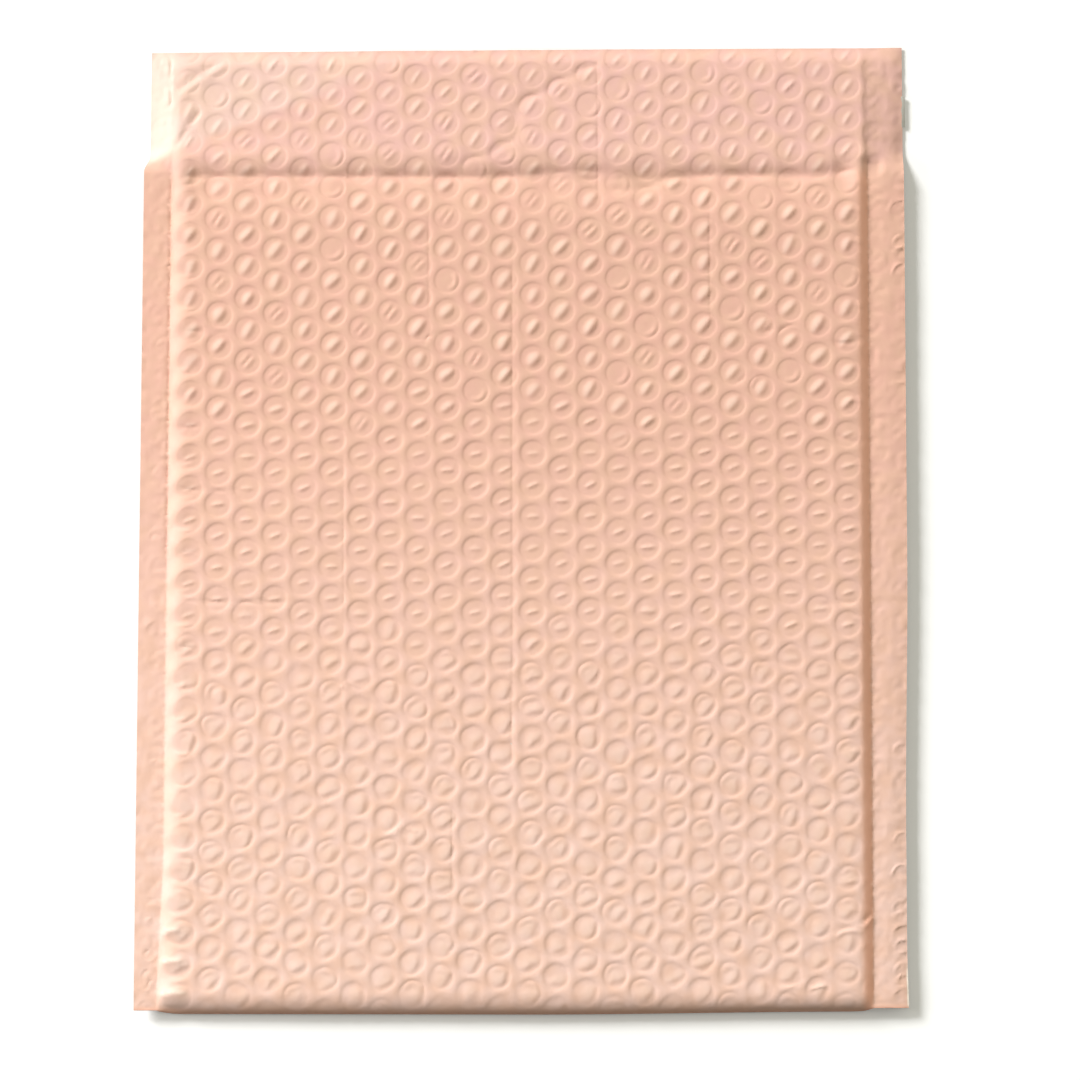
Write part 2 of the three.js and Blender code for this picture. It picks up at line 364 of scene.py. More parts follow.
# Folds in the outer film of the back panel and the flap, as height, width on the left and on
# the right of the line, fade at the ends, and points along the line. All are in millimetres.
MOUTH_LEFT = (
    (-109.5, 110.7), (-83.6, 110.8), (-61.4, 110.8), (-39.3, 110.8), (-20.3, 110.5),
    (-2.8, 110.9), (11.4, 112.2), (21.2, 112.6), (30.0, 111.4),
)
MOUTH_RIGHT = (
    (25.5, 106.8), (33.0, 106.2), (39.9, 107.6), (44.3, 110.0), (55.7, 111.6), (68.4, 111.3),
    (79.8, 111.0), (91.8, 110.7), (100.1, 112.3), (107.0, 114.3),
)
MOUTH_SAG = ((-109.5, 110.7), (-20.0, 110.6), (26.0, 110.0), (52.0, 110.6), (107.0, 113.0))
MOUTH_FOLDS = (
    (-0.64, 3.2, 2.2, 4, MOUTH_LEFT),
    (-0.6, 3.2, 2.2, 4, MOUTH_RIGHT),
    (-1.8, 10.0, 16.0, 6, MOUTH_SAG),
)
FLAP_CREASE = (-0.55, 4.0, 2.4, 5, (
    (-21.9, 111.9), (-17.9, 116.7), (-11.1, 117.7), (-7.3, 120.6), (-2.9, 122.7), (-1.6, 126.4),
    (-2.6, 132.9), (0.6, 136.5), (7.3, 138.5), (8.8, 141.6), (15.2, 143.5), (17.4, 145.5),
    (22.5, 146.9), (25.7, 150.0),
))
PINCHES = (
    (-0.15, 1.2, 0.6, 12, ((-3.7, 90.2), (-3.6, 29.8), (-3.3, -36.3), (-3.7, -78.3))),
    (-0.15, 1.2, 0.6, 6, ((23.1, 150.0), (23.3, 125.7), (23.4, 101.6))),
    (-0.15, 1.2, 0.6, 10, ((-30.3, 106.0), (-29.8, 61.4))),
    (-0.15, 1.1, 0.6, 14, ((-56.7, 29.7), (-55.9, -36.4))),
    (-0.15, 1.1, 0.6, 10, ((58.5, 106.3), (58.7, 61.6))),
    (-0.15, 1.1, 0.6, 8, ((-22.0, -86.1), (-21.9, -117.0))),
)
CROWS_FEET = (
    (-0.42, 0.9, 0.9, 2, ((74.9, 60.1), (77.3, 61.8), (80.5, 61.3), (83.0, 63.0), (87.4, 63.4))),
    (0.35, 0.8, 0.8, 1, ((78.2, 65.0), (75.9, 61.4))),
    (-0.38, 0.9, 0.8, 2, ((66.8, 45.1), (70.0, 46.3), (72.0, 47.1), (73.2, 48.4))),
    (0.32, 0.7, 0.7, 1, ((73.6, 47.0), (71.4, 43.2))),
    (-0.36, 0.8, 0.8, 2, ((-32.6, 55.7), (-29.8, 59.5), (-26.0, 60.5))),
    (0.32, 0.8, 0.8, 2, ((-58.0, -52.0), (-54.0, -49.5), (-50.2, -52.0))),
    (0.40, 0.9, 0.9, 2, ((-42.8, -97.9), (-38.1, -94.8), (-31.9, -96.0))),
    (-0.34, 0.8, 0.8, 2, ((73.0, -43.7), (77.1, -42.4), (81.1, -44.0))),
)
# Puckers at the lower left corner; their ridges also get a painted highlight.
HIGHLIT_PUCKERS = (
    (0.52, 1.4, 2.2, 2, ((-111.6, -127.6), (-108.5, -126.4), (-105.5, -126.2))),
    (0.54, 1.4, 2.4, 2, ((-111.6, -136.8), (-108.5, -135.8), (-104.5, -135.6))),
    (0.56, 1.4, 2.4, 2, ((-111.8, -146.2), (-108.5, -145.6), (-103.5, -145.6))),
)
PUCKERS = (
    *HIGHLIT_PUCKERS,
    (-0.36, 1.4, 1.2, 4, ((-106.5, 61.0), (-98.2, 60.7), (-90.3, 60.4))),
    (-0.30, 1.2, 1.0, 3, ((-109.5, 30.3), (-104.8, 30.6), (-100.0, 30.9))),
    (-0.38, 1.3, 1.2, 4, ((-109.5, 11.0), (-101.4, 10.7), (-87.9, 10.4))),
    (-0.30, 1.2, 1.0, 3, ((-109.5, -9.5), (-103.8, -8.8), (-99.9, -8.8))),
    (-0.38, 1.3, 1.2, 5, ((-109.5, -23.9), (-99.5, -24.5), (-88.5, -24.5), (-68.8, -24.8))),
    (-0.30, 1.2, 1.0, 3, ((-109.5, -38.3), (-100.9, -39.2))),
    (-0.40, 1.2, 1.1, 4, ((-108.0, -111.0), (-101.3, -112.8), (-95.3, -115.0))),
    (-0.42, 1.2, 1.2, 3, ((109.0, 60.0), (103.4, 57.6), (96.1, 57.2))),
    (-0.36, 1.2, 1.2, 3, ((109.0, 25.9), (102.6, 26.5), (97.2, 28.9))),
    (-0.30, 1.9, 1.4, 3, (
        (108.4, -120.4), (106.0, -123.3), (102.9, -124.9), (98.5, -125.3), (94.7, -127.8),
    )),
    (0.50, 1.4, 1.1, 3, (
        (109.6, -121.0), (107.0, -124.5), (103.7, -126.1), (99.3, -126.8), (96.0, -129.2),
    )),
    (-0.30, 1.2, 1.2, 4, ((108.0, -24.5), (99.1, -24.2), (91.8, -25.5))),
    (0.45, 1.0, 1.2, 2, ((77.2, -145.6), (82.8, -143.6), (88.2, -142.5))),
    (0.40, 1.0, 1.0, 2, ((88.0, -144.8), (91.5, -143.6), (95.2, -142.9))),
)
FLAP_CORNER = ((-110.6, 137.4), (-106.5, 141.2), (-102.5, 144.2), (-94.5, 149.1))
FLAP_MARGIN = ((-111.0, 119.0), (-107.3, 125.7), (-102.4, 133.0))
FLAP_FOLDS = (
    (-0.70, 3.0, 1.4, 3, tuple((x - 0.5, y + 0.9) for x, y in FLAP_CORNER)),
    (0.50, 1.4, 3.0, 3, tuple((x + 0.5, y - 0.9) for x, y in FLAP_CORNER)),
    (-0.70, 2.2, 1.4, 2, FLAP_MARGIN),
    (-0.34, 2.3, 0.6, 8, ((-111.9, 113.0), (-111.9, 55.0), (-111.9, -15.0))),
    (-0.55, 1.0, 0.9, 2, ((-112.9, 151.4), (-112.8, 142.3), (-112.4, 133.5))),
    (-0.9, 4.0, 8.0, 3, ((97.0, 114.0), (104.0, 115.6), (115.0, 115.4))),
)
FOLDS = (*MOUTH_FOLDS, FLAP_CREASE, *PINCHES, *CROWS_FEET, *PUCKERS, *FLAP_FOLDS)
RIGHT_ARCS = (
    101.5, 90.5, 86.4, 81.0, 44.0, -70, -98, -108, -119, -122.5, -126, -131, -135, -138.5, -142,
    -145.5,
)
LEFT_DENTS = (62, 57, 35, 24, 17, -4, -32, -75, -79, -118, -124, -134, -137, -140, -143, -146)


def seal_wrinkles(m, u, v, seed):
    """Small arcs and dents that the weld leaves in the seals."""
    rng = np.random.default_rng(seed)
    height = np.zeros(u.shape)
    for y in RIGHT_ARCS:
        bow, wide = rng.uniform(1.0, 2.0), rng.uniform(3.4, 4.8)
        points = (
            (m.right - 0.3, y + bow), (m.right - 0.6 * wide, y + bow + 0.3),
            (m.right - wide, y + 0.2), (m.right - wide - 0.2, y - 1.3),
        )
        height += fold_line(u, v, points, rng.uniform(0.28, 0.45), 0.8, 0.6, 1.2)
    for y in LEFT_DENTS:
        x = m.left + rng.uniform(3.0, 6.2)
        points = ((x - 0.9, y - 0.8), (x - 0.2, y + 0.7), (x + 1.4, y + 1.1))
        size = rng.choice((-1, 1)) * rng.uniform(0.2, 0.34)
        height += fold_line(u, v, points, size, 0.8, 0.7, 0.8)
    return height


def rise(m, u):
    """How far the film has risen from the seams to the top of the cells, from 0 to 1. The left
    shoulder is long and even, the right one short and steep at the seam."""
    left = np.clip((u - m.left_seam) / m.left_shoulder, 0, 1)
    steep = np.clip((m.right_seam - u) / m.right_shoulder, 0, 1)
    slow = np.clip((m.right_seam - u) / 8, 0, 1)
    return (1 - (1 - left) ** 1.8) * (1 - 0.58 * (1 - steep) ** 1.3 - 0.42 * (1 - slow) ** 2)


def flap_film(m, u, v):
    """Height of the flap, which slopes to the table and is crushed along its sides and edge."""
    along = np.clip((v - m.mouth) / m.flap, 0, 1)
    crown = mix(m.height, m.height - m.seal_bottom, along)
    crown -= 1.7 * ease(m.edge - 5, m.edge, v)
    crown -= (1.5 - 0.9 * along) * ease(0, 0.3, along) * (u / 110) ** 2
    inner = -109.6 + 2.4 * ease(m.mouth + 20, m.edge, v)
    left = np.clip((inner - u) / (inner - m.left), 0, 1)
    right = np.clip((u - (m.right_seam - 1.5)) / 12.5, 0, 1)
    curl = np.clip((u - (m.right - 3.6)) / 3.6, 0, 1) ** 2
    crown = mix(crown, 0.6, 1 - (1 - left) ** 1.1)
    step = 0.7 * ease(m.right_seam - 2, m.right_seam + 0.6, u)
    return mix(mix(crown - step * (1 - 0.6 * along), 1.2, 0.92 * right), 0.8, curl)


def on_flap(m, v):
    """From 0 on the back panel to 1 on the flap."""
    return ease(m.mouth - 1, m.mouth + 8, v)


def clear_of_seams(m, u):
    """From 0 at the seams to 1 where the cells are whole."""
    return ease(1.0, 6.5, np.minimum(u - m.left_seam, m.right_seam - u))


def clear_of_fold(m, v):
    """From 0 in the bottom fold to 1 on the flat of the panels."""
    return ease(m.nose + 1.5, m.panel_start + 3, v)


def flap_turn(m, u, v):
    """How much of the flap's left margin is turned in, from 0 at the seam to 1 at the edge."""
    return np.clip((m.left_seam - u) / m.left_seal, 0, 1) * ease(m.mouth, m.mouth + 5, v)


def flap_skew(m, u, v):
    """How far the flap's edge runs on beyond a square cut, along the mailer."""
    return 0.0085 * u * ease(m.mouth, m.edge, v)


SEAM_LEAN = 1.7
FILM_TURN_IN = 1.6
LINING_TURN_IN = 1.8
FILM_FLOOR = 0.45
LINING_FLOOR = 0.06


def sideways(m, u, v):
    """How far the web lies to the left of its flat pattern: the edge of the right seal is trimmed
    inside a straight cut, and the left seam leans out towards the bottom fold."""
    out = np.clip((u - m.right_seam) / m.right_seal, 0, 1)
    trimmed = out * (1 - ease(-95, -10, v)) * mix(0.6, 1.0, ease(0, 22, v - m.fold))
    inside = u - m.left_seam
    on_seal = np.clip(1 + inside / m.left_seal, 0, 1)
    beside = np.where(inside < 0, on_seal, 1 - ease(0, 8, inside))
    return trimmed + SEAM_LEAN * beside * (1 - ease(m.fold, -100, v))


def seal_lift(m, u, v):
    """How the seals lie: the right one rises from its seam, and sinks towards the bottom fold."""
    out = np.clip((u - m.right_seam) / m.right_seal, 0, 1)
    rise_out = 0.25 * ease(0, 0.6, out)
    sink = -(0.4 + 0.35 * (1 - ease(-90, 10, v))) * out ** 2
    return np.where(u > m.right_seam - 1, rise_out * (u > m.right_seam) + sink, 0)


def back_base(m, u, v):
    """Height of the back panel, its seals and the flap, without cells or wrinkles."""
    body = mix(m.seal_top, m.height, rise(m, u))
    body = body + seal_lift(m, u, v)
    return mix(body, flap_film(m, u, v), on_flap(m, v))


def cells_kept(m, u, v):
    """How much of the cells is left where the film is crushed or stretched."""
    right = mix(0.15, 1, ease(-0.5, 3.0, m.right_seam - u))
    flap = np.where(u > 0, right, ease(-1.5, 7, u - m.left_seam))
    kept = mix(clear_of_seams(m, u), flap, ease(m.mouth, m.mouth + 7, v))
    for line in (MOUTH_LEFT, MOUTH_RIGHT, FLAP_CORNER, FLAP_MARGIN):
        kept = kept * (1 - fold_line(u, v, line, 0.85, 5.0, 3.0, 3))
    return kept * clear_of_fold(m, v) * mix(0.45, 1, ease(0, 5, m.edge - v))


def seam_puckers(m, c, u, v):
    """Short folds that run from the seams into the panel, one beside most of the cells."""
    rng = np.random.default_rng(c.seed + 1)
    height = np.zeros(u.shape)
    for y in np.arange(c.first_y + c.pitch / 2, m.mouth, c.pitch):
        for seam, inward, above, leans, sizes in (
            (m.left_seam, 1, -0.5, (0.4, 2.8), (0.2, 0.6)),
            (m.right_seam, -1, 2, (-1.5, 1.5), (0.0, 0.36)),
        ):
            lean, reach, size = rng.uniform(*leans), rng.uniform(5, 9), rng.uniform(*sizes)
            start = seam + inward * 0.6
            points = ((start, y + above), (start + inward * reach, y + above + inward * lean))
            height += fold_line(u, v, points, size, 1.3, 1.0, 2.5)
    return height


def wrap_fold(m, u, v, top, relief, up):
    """Lays the film round the bottom fold, from the back over the top or from the front below."""
    share = rise(m, u)
    lift = seal_lift(m, u, v)
    bottom = m.seal_bottom * (1 - share) + lift
    upper = mix(m.seal_top, m.height, share) + lift
    middle = mix(bottom, upper, mix(0.5, 0.2, share))
    half = np.abs(np.where(up > 0, upper, bottom) - middle)
    turned = np.clip((m.panel_start - v) / m.quarter, 0, 1.06)
    relief = relief * (1 - ease(0.6, 0.95, turned))
    angle = turned * math.pi / 2
    reach = m.panel_start - (m.fold + m.seal_setback * (1 - share) + 1.1 * ease(0, 110, u))
    flat = v >= m.panel_start
    y = np.where(flat, v, m.panel_start - (reach + relief) * np.sin(angle))
    z = np.where(flat, top + up * relief, middle + up * (half + relief) * np.cos(angle))
    return y, z


def back_wrinkles(m, c, u, v):
    """Folds, puckers and slow waves of the back panel and the flap."""
    height = seam_puckers(m, c, u, v)
    for size, left, right, fade, points in FOLDS:
        height += fold_line(u, v, points, size, left, right, fade)
    height += rise(m, u) * (0.14 * crumple(u, v, 34, 3) + 0.05 * crumple(u, v, 11, 4))
    inside = u - m.left_seam
    scallop = ease(0, 2.5, inside) * (1 - ease(3, 9, inside)) * (1 - ease(m.mouth - 6, m.mouth, v))
    wave = np.sin(math.tau * (v - c.first_y + 1.5) / c.pitch)
    height += scallop * (0.4 + 0.15 * crumple(u, v, 25, 7)) * wave
    return height + 0.2 * ease(m.mouth + 4, m.edge, v) * crumple(u, v * 0.5, 21, 6)


def back_film_shape(m, c, flat):
    """The outer film of the back panel, the seals' upper side and the flap."""
    u, v, depth = flat.T
    cells, _ = cell_relief(c, u, v, m.mouth)
    relief = cells * cells_kept(m, u, v) + back_wrinkles(m, c, u, v)
    crushed = 1 - ease(0, 0.3, rise(m, u))
    relief += seal_wrinkles(m, u, v, c.seed + 2) + (0.03 + 0.11 * crushed) * crumple(u, v, 1.7, 5)
    y, z = wrap_fold(m, u, v, back_base(m, u, v), relief, 1)
    z = np.maximum(z, FILM_FLOOR) + depth * m.seal_thickness * 0.8
    x = u - sideways(m, u, v) + FILM_TURN_IN * flap_turn(m, u, v)
    return np.stack([x, y + flap_skew(m, u, v), z], 1)


CUT_EDGE = 0.6
CUT_BLEND = 0.2


def painted_highlights(m, c, flat):
    """Painted highlights: over the pinches in the cells, along the left shoulder, on the left
    margin and the left half of the flap and on the puckers of the lower left corner. The film is
    also paler along the cut edge of the right seal's end."""
    u, v, _ = flat.T
    # Painted highlight along the left shoulder, where it faces the light.
    over = m.left_seam + 0.6 + 0.7 * crumple(u * 0, v, 4.3, 31)
    shoulder = ease(-0.6, 0.4, u - over) * (1 - ease(1.0, 6.0, u - over))
    # Painted highlight on the flap's left margin, and a lighter one over the flap's left half.
    margin = 1 - ease(-2.5, 4.5, u - m.left_seam - 0.8 * crumple(u * 0, v, 5.1, 32))
    margin = 0.42 * margin + 0.24 * (1 - ease(-100, -15, u))
    flap = ease(0, 4, v - m.mouth - 1 - 0.4 * (u - m.left))
    # Painted highlights along the ridges of the corner puckers.
    pucker_highlight = sum(fold_line(u, v, points, 1.0, 1.5, 0.8, 2) for *_, points in HIGHLIT_PUCKERS)
    cut = ease(m.right - CUT_EDGE, m.right - CUT_EDGE + CUT_BLEND, u) * (1 - ease(-141, -135, v))
    # Painted highlights on the pinches in the cells.
    _, pale = cell_relief(c, u, v, m.mouth)
    pale = pale * cells_kept(m, u, v)
    return np.clip(mix(0.11 * shoulder, margin, flap) + 0.6 * pucker_highlight + cut + pale, 0, 1)


def film_painted_glow(m, flat):
    """Painted warm light where the film lies in shade: in the right groove and the bottom fold."""
    u, v, _ = flat.T
    inside = m.right_seam - u
    # Painted warm light in the shaded right groove, and on the shaded bottom fold.
    groove = ease(-0.3, 0.4, inside) * (1 - ease(1.8, 4.5, inside))
    groove *= 1 - ease(m.mouth - 3, m.mouth + 3, v)
    return np.maximum(groove, 0.8 * (1 - ease(m.nose + 1, m.nose + 5, v)))


def front_film_shape(m, c, flat):
    """The outer film of the front panel, which lies on the table, and the seals' underside."""
    u, v, _ = flat.T
    kept = clear_of_seams(m, u) * clear_of_fold(m, v) * ease(0, 4, m.mouth - v)
    cells, _ = cell_relief(c, u, v, m.mouth)
    relief = np.minimum(cells, 0) * kept
    lip = 0.9 * ease(m.mouth - 3, m.mouth, v)
    base = m.seal_bottom * (1 - rise(m, u)) + seal_lift(m, u, v)
    y, z = wrap_fold(m, u, v, base + lip * rise(m, u), relief, -1)
    return np.stack([u - sideways(m, u, v), y, z], 1)


def domes(m, c, u, v):
    """Height of the air cells on the inner side of the web."""
    _, _, dx, dy = nearest_cell(c, u, v)
    t = np.hypot(dx, dy) / (c.diameter / 2)
    return m.cell_height * (1 - ease(0.62, 1.0, t))


def back_lining_shape(m, c, flat):
    """The air-cell film under the back panel and the flap."""
    u, v, _ = flat.T
    margins = ease(0, 4, u - m.left_seam) * ease(0, 4, m.right_seam - u)
    margins *= 1 - 0.75 * ease(84, 96, np.abs(u))
    kept = mix(rise(m, u) ** 2, margins, on_flap(m, v))
    near = ((0, 0), (1.3, 0), (-1.3, 0), (0, 1.3), (0, -1.3))
    sunk = np.minimum.reduce([back_wrinkles(m, c, u + du, v + dv) for du, dv in near])
    sunk = np.minimum(sunk, 0)
    kept = kept * ease(1, 6, m.edge - v) * np.clip(1 + sunk / 2, 0.1, 1)
    base = back_base(m, u, v) + 1.15 * sunk - 0.25 * ease(0.1, 0.4, -sunk)
    below = mix(m.seal_thickness * 0.6, m.film_gap + 0.5, kept)
    z = base - below - kept * (domes(m, c, u, v) - 0.5)
    x = u - sideways(m, u, v) + LINING_TURN_IN * flap_turn(m, u, v)
    y = v + flap_skew(m, u, v) - 0.3 * ease(m.edge - 2, m.edge, v)
    return np.stack([x, y, np.maximum(z, LINING_FLOOR)], 1)


def front_lining_shape(m, c, flat):
    """The air-cell film over the front panel, inside the pocket."""
    u, v, _ = flat.T
    share = rise(m, u)
    kept = share ** 2 * ease(0, 5, m.mouth - v)
    base = mix(m.seal_bottom + 0.2, mix(1.1, 0.3, ease(0, 4, m.mouth - v)), share)
    return np.stack([u - sideways(m, u, v), v, base + kept * domes(m, c, u, v)], 1)


def points_of(geom):
    """The vertices among some parts of a mesh."""
    return [part for part in geom if isinstance(part, bmesh.types.BMVert)]


def cell_tile(c, segments, rings):
    """One cell's patch of film: rings, and a six-sided rim that its neighbours share."""
    tile = bmesh.new()
    bmesh.ops.create_circle(tile, cap_ends=True, cap_tris=True, segments=segments, radius=rings[0])
    quarter = Matrix.Rotation(-math.pi / 2, 3, "Z")
    bmesh.ops.rotate(tile, cent=(0, 0, 0), matrix=quarter, verts=tile.verts)
    for inner, outer in zip(rings, rings[1:]):
        rim = [edge for edge in tile.edges if edge.is_boundary]
        ring = points_of(bmesh.ops.extrude_edge_only(tile, edges=rim)["geom"])
        bmesh.ops.scale(tile, vec=(outer / inner, outer / inner, 1), verts=ring)
    half, bend = c.pitch / 2, c.pitch ** 2 / (8 * c.spacing)
    near, far = c.spacing / 2 - bend, c.spacing / 2 + bend
    corners = [(far, 0), (near, half), (-near, half), (-far, 0), (-near, -half), (near, -half)]
    corners = [Vector(corner) for corner in corners]
    per_side = segments // 6
    for vert in ring:
        step = round(math.atan2(vert.co.y, vert.co.x) / math.tau * segments) % segments
        side, part = divmod(step, per_side)
        vert.co.xy = corners[side].lerp(corners[(side + 1) % 6], part / per_side)
    return tile


MERGE_DISTANCE = 0.01
TRIM_SNAP = 0.02
CUT_SNAP = 0.05
CUT_REACH = 2.5


def film_web(c, segments, rings, sides, ends, cuts=()):
    """A flat sheet of cells in staggered columns, trimmed to its sides and ends. Cuts are lines
    along the mailer that get edges of their own, where the film turns sharply."""
    web = cell_tile(c, segments, rings)
    first = (c.first_x - 2 * c.spacing, c.first_y - c.pitch, 0)
    bmesh.ops.translate(web, vec=first, verts=web.verts)
    shifts = [(0, c.pitch * 2 ** k) for k in range(5)] + [(c.spacing, -c.pitch / 2)]
    shifts += [(2 * c.spacing * 2 ** k, 0) for k in range(4)]
    for shift in shifts:
        copy = bmesh.ops.duplicate(web, geom=web.verts[:] + web.edges[:] + web.faces[:])["geom"]
        bmesh.ops.translate(web, vec=(*shift, 0), verts=points_of(copy))
    bmesh.ops.remove_doubles(web, verts=web.verts, dist=MERGE_DISTANCE)
    for vert in web.verts:
        vert.co.xy += Vector(drift(*vert.co.xy))
    trims = (
        ((sides[0], 0, 0), (-1, 0, 0)), ((sides[1], 0, 0), (1, 0, 0)),
        ((0, ends[0], 0), (0, -1, 0)), ((0, ends[1], 0), (0, 1, 0)),
    )
    for spot, away in trims:
        parts = web.verts[:] + web.edges[:] + web.faces[:]
        bmesh.ops.bisect_plane(
            web, geom=parts, dist=TRIM_SNAP, plane_co=spot, plane_no=away, clear_outer=True
        )
    for x in cuts:
        faces = [face for face in web.faces if abs(face.calc_center_median().x - x) < CUT_REACH]
        edges = {edge for face in faces for edge in face.edges}
        verts = {vert for face in faces for vert in face.verts}
        parts = [*verts, *edges, *faces]
        bmesh.ops.bisect_plane(
            web, geom=parts, dist=CUT_SNAP, plane_co=(x, 0, 0), plane_no=(1, 0, 0)
        )
    return web


def hem(web, above):
    """Turns the open rim of a sheet down by one, apart from the end below a line."""
    rim = [edge for edge in web.edges if edge.is_boundary]
    rim = [edge for edge in rim if max(vert.co.y for vert in edge.verts) > above]
    for edge in rim:
        edge.smooth = False
    turned = points_of(bmesh.ops.extrude_edge_only(web, edges=rim)["geom"])
    bmesh.ops.translate(web, vec=(0, 0, -1), verts=turned)


def put(name, data):
    """A new object in the scene."""
    made = bpy.data.objects.new(name, data)
    bpy.context.scene.collection.objects.link(made)
    return made


def finish_piece(name, piece, material, shape, facing=0, marks=()):
    """Makes an object of a mesh: its points are shaped in millimetres, it faces up or down, and
    marks are attributes that the material reads, by name, with their values for the flat points."""
    mesh = bpy.data.meshes.new(name)
    if facing:
        piece.normal_update()
        if sum(face.normal.z for face in piece.faces) * facing < 0:
            bmesh.ops.reverse_faces(piece, faces=piece.faces[:])
    else:
        bmesh.ops.recalc_face_normals(piece, faces=piece.faces[:])
    piece.to_mesh(mesh)
    piece.free()
    points = np.empty(len(mesh.vertices) * 3, np.float32)
    mesh.vertices.foreach_get("co", points)
    points = points.reshape(-1, 3).astype(float)
    for mark, value in dict(marks).items():
        values = value(points).astype(np.float32)
        mesh.attributes.new(mark, "FLOAT", "POINT").data.foreach_set("value", values)
    mesh.vertices.foreach_set("co", (shape(points) * MM).astype(np.float32).ravel())
    mesh.shade_smooth()
    mesh.materials.append(material)
    mesh.update()
    made = put(name, mesh)
    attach(made, "root")
    return made


def add_node(tree, kind, inputs=(), **settings):
    """Adds a node, sets it up, and gives its inputs their values or links."""
    made = tree.nodes.new(kind)
    for name, value in settings.items():
        setattr(made, name, value)
    for socket, value in dict(inputs).items():
        if isinstance(value, bpy.types.NodeSocket):
            tree.links.new(value, made.inputs[socket])
        else:
            made.inputs[socket].default_value = value
    return made


def new_material(name):
    """An empty node material and its tree."""
    material = bpy.data.materials.get(name) or bpy.data.materials.new(name)
    material.use_nodes = True
    material.node_tree.nodes.clear()
    return material, material.node_tree


def shade(tone, share):
    """A colour dimmed to a share of itself, for a socket."""
    return (*[share * x for x in tone], 1)


def polyethylene_film(colours):
    """Blown and co-extruded polyethylene film: an even pigment with faint warm clouds, pinker on
    the flap; painted light makes it paler towards the bottom fold, paints highlights on the pinches
    and warms the shaded groove and fold; a satin face shines softly on every slope, with a fine
    crumple."""
    material, tree = new_material("Co-extruded polyethylene film, satin peach")
    place = add_node(tree, "ShaderNodeTexCoord").outputs["Object"]
    along = add_node(tree, "ShaderNodeSeparateXYZ", {0: place}).outputs["Y"]
    # The first ramp is painted light, paler towards the bottom fold; the second makes the flap
    # pinker.
    ramps = [
        add_node(
            tree, "ShaderNodeMapRange", {0: along, 1: start * MM, 2: end * MM},
            interpolation_type="SMOOTHSTEP",
        ).outputs["Result"]
        for start, end in ((70, -130), (106, 122))
    ]
    clouds = add_node(
        tree, "ShaderNodeTexNoise", {"Vector": place, "Scale": 1 / (7 * MM), "Detail": 3.0}
    ).outputs["Fac"]
    tint = add_node(tree, "ShaderNodeMapRange", {0: clouds, 1: 0.35, 2: 0.65, 4: 0.6})
    # Painted highlights and painted warm light in shade, read from attributes of the pieces.
    marks = [
        add_node(tree, "ShaderNodeAttribute", attribute_name=mark).outputs["Fac"]
        for mark in ("painted_highlight", "glow")
    ]
    tones = (
        colours.film_lit_low, colours.film_flap, colours.film_warm,
        colours.film_highlight, colours.film_painted_glow,
    )
    pigment = (*colours.film, 1)
    for share, tone in zip((*ramps, tint.outputs["Result"], *marks), tones):
        pigment = add_node(
            tree, "ShaderNodeMix", {0: share, 6: pigment, 7: (*tone, 1)}, data_type="RGBA"
        ).outputs[2]
    grain = add_node(
        tree, "ShaderNodeTexNoise", {"Vector": place, "Scale": 1 / (1.6 * MM), "Detail": 4.0}
    )
    satin = add_node(
        tree, "ShaderNodeMapRange", {0: grain.outputs["Fac"], 1: 0.3, 2: 0.7, 3: 0.72, 4: 0.8}
    )
    crinkle = add_node(tree, "ShaderNodeBump", {
        "Height": grain.outputs["Fac"], "Strength": 0.5, "Distance": 0.08 * MM,
    })
    film = add_node(tree, "ShaderNodeBsdfPrincipled", {
        "Base Color": pigment, "Roughness": satin.outputs["Result"],
        "Normal": crinkle.outputs["Normal"], "IOR": 1.5,
    })
    add_node(tree, "ShaderNodeOutputMaterial", {"Surface": film.outputs["BSDF"]})
    return material


def air_cell_film(colours):
    """Clear cast polyethylene over the pale inner face of the outer film: glossier and whiter
    than the outside, with small glints on the cells."""
    material, tree = new_material("Cast polyethylene air-cell film, milky")
    place = add_node(tree, "ShaderNodeTexCoord").outputs["Object"]
    wrinkle = add_node(
        tree, "ShaderNodeTexNoise", {"Vector": place, "Scale": 1 / (2.2 * MM), "Detail": 3.0}
    )
    tint = add_node(tree, "ShaderNodeMix", {
        0: wrinkle.outputs["Fac"], 6: (*colours.lining, 1), 7: shade(colours.lining, 0.93),
    }, data_type="RGBA")
    gloss = add_node(tree, "ShaderNodeMapRange", {0: wrinkle.outputs["Fac"], 3: 0.16, 4: 0.34})
    slack = add_node(tree, "ShaderNodeBump", {
        "Height": wrinkle.outputs["Fac"], "Strength": 0.5, "Distance": 0.15 * MM,
    })
    film = add_node(tree, "ShaderNodeBsdfPrincipled", {
        "Base Color": tint.outputs[2], "Roughness": gloss.outputs["Result"],
        "Normal": slack.outputs["Normal"], "IOR": 1.51,
    })
    add_node(tree, "ShaderNodeOutputMaterial", {"Surface": film.outputs["BSDF"]})
    return material


